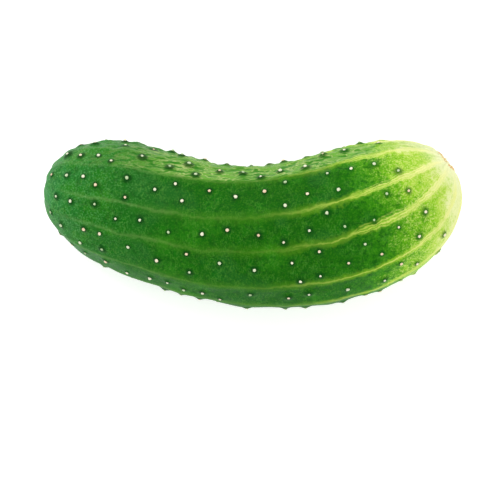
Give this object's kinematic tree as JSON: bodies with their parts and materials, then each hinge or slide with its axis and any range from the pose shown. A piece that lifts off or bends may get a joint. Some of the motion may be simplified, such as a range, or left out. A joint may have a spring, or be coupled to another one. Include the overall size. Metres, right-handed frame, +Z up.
{
  "type": "cucumber",
  "caption": "Short, bent, warty cucumber lying on its side, with pale stripes, a pale blossom end and a dark stem end, for a kitchen, market or table scene.",
  "frame": {"origin": "middle of the bounding box in X and Y, on the surface that the cucumber lies on", "axes": "+X towards the blossom end, +Y towards the hollow side of the bend, +Z up"},
  "size_m": [0.1214, 0.0506, 0.0435],
  "materials": {
    "skin": null,
    "spine_tip": null
  },
  "bodies": {
    "root": {"cucumber": "skin"}
  },
  "joints": []
}
